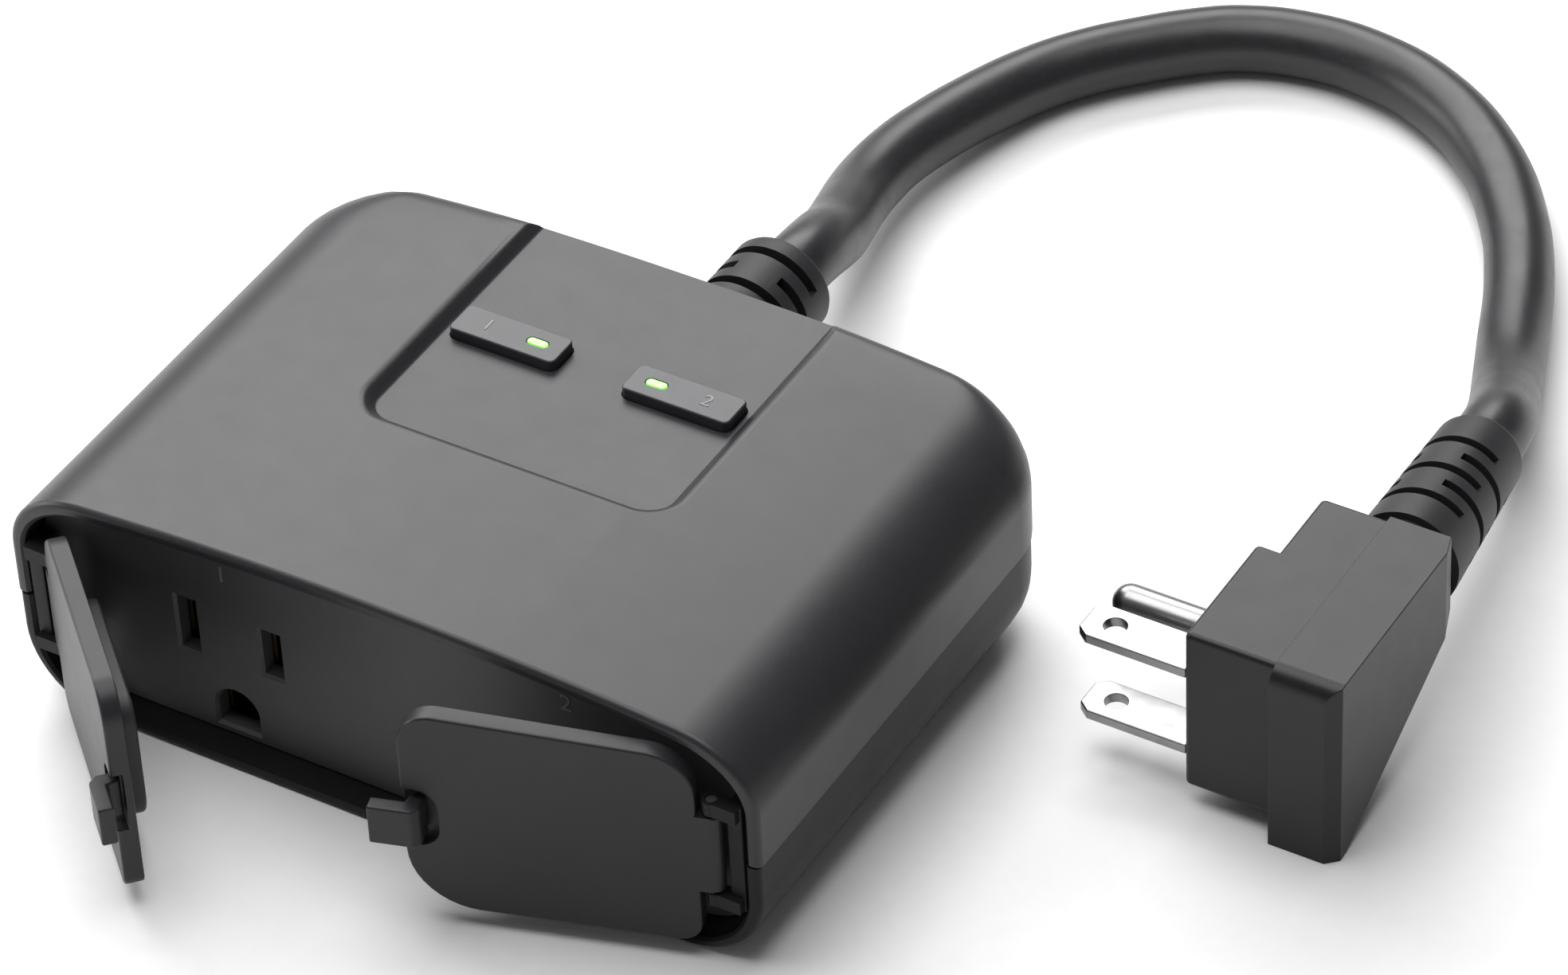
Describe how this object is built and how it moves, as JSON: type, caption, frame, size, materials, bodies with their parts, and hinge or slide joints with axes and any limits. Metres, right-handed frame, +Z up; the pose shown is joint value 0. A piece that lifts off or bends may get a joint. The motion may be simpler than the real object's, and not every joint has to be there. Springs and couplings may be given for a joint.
{
  "type": "smart plug",
  "caption": "Low outdoor smart plug: two grounded outlets behind hinged covers, push buttons in a sunken panel, and a cord to a right-angle plug.",
  "frame": {"origin": "centre of the case's flat base", "axes": "+X across the case to the right seen from the outlet side, -Y out of the outlets, +Z up"},
  "size_m": [0.1626, 0.2304, 0.0374],
  "materials": {
    "shell": "satin dark grey moulded plastic",
    "cover": "satin near-black moulded plastic",
    "rubber": "matte black rubber",
    "cord_jacket": "smooth black cord jacket",
    "steel": "bright plated steel",
    "brass": "formed brass strip",
    "board": "green circuit board",
    "lens": "green translucent lens",
    "relay": "blue relay case",
    "white_plastic": "white plastic",
    "black_plastic": "black plastic",
    "wire_white": "white wire insulation",
    "wire_black": "black wire insulation",
    "wire_green": "green wire insulation"
  },
  "bodies": {
    "case": {"lower_shell": "shell", "upper_shell": "shell", "outlet_plate": "shell", "perimeter_seal_left": "rubber", "perimeter_seal_right": "rubber", "main_board": "board", "relay_1": "relay", "relay_2": "relay", "power_supply": "black_plastic", "capacitor": "black_plastic", "radio_module": "white_plastic", "button_board": "board", "tact_switch_1": "black_plastic", "tact_switch_2": "black_plastic", "cord_gland": "rubber", "cord_clamp": "white_plastic", "power_cord": "cord_jacket", "line_wire": "wire_black", "neutral_wire": "wire_white", "ground_wire": "wire_green", "plug_body": "cover", "neutral_blade": "steel", "line_blade": "steel", "ground_pin": "steel", "plug_boot": "rubber", "case_screw_1": "steel", "case_screw_2": "steel", "case_screw_3": "steel", "case_screw_4": "steel", "neutral_contact_1": "brass", "line_contact_1": "brass", "ground_contact_1": "brass", "neutral_contact_2": "brass", "line_contact_2": "brass", "ground_contact_2": "brass", "left_hinge_bracket": "shell", "left_hinge_pin": "steel", "right_hinge_bracket": "shell", "right_hinge_pin": "steel"},
    "left_cover": {"left_cover": "cover", "left_seal_pad": "rubber", "left_latch_tab": "cover"},
    "right_cover": {"right_cover": "cover", "right_seal_pad": "rubber", "right_latch_tab": "cover"},
    "button_1": {"button_1": "cover", "led_lens_1": "lens"},
    "button_2": {"button_2": "cover", "led_lens_2": "lens"}
  },
  "joints": [
    {"name": "left_cover_hinge", "type": "hinge", "parent": "case", "child": "left_cover", "pos_m": [-0.0484, -0.0377, 0.0178], "axis": [0, 0, -1], "range_deg": [-43.4, 50]},
    {"name": "right_cover_hinge", "type": "hinge", "parent": "case", "child": "right_cover", "pos_m": [0.0484, -0.0377, 0.0178], "axis": [0, 0, 1], "range_deg": [-16.9, 74.5]},
    {"name": "button_1_press", "type": "slide", "parent": "case", "child": "button_1", "axis": [0, 0, -1], "range_m": [0, 0.0008], "stiffness_N_per_m": 800},
    {"name": "button_2_press", "type": "slide", "parent": "case", "child": "button_2", "axis": [0, 0, -1], "range_m": [0, 0.0008], "stiffness_N_per_m": 800}
  ]
}
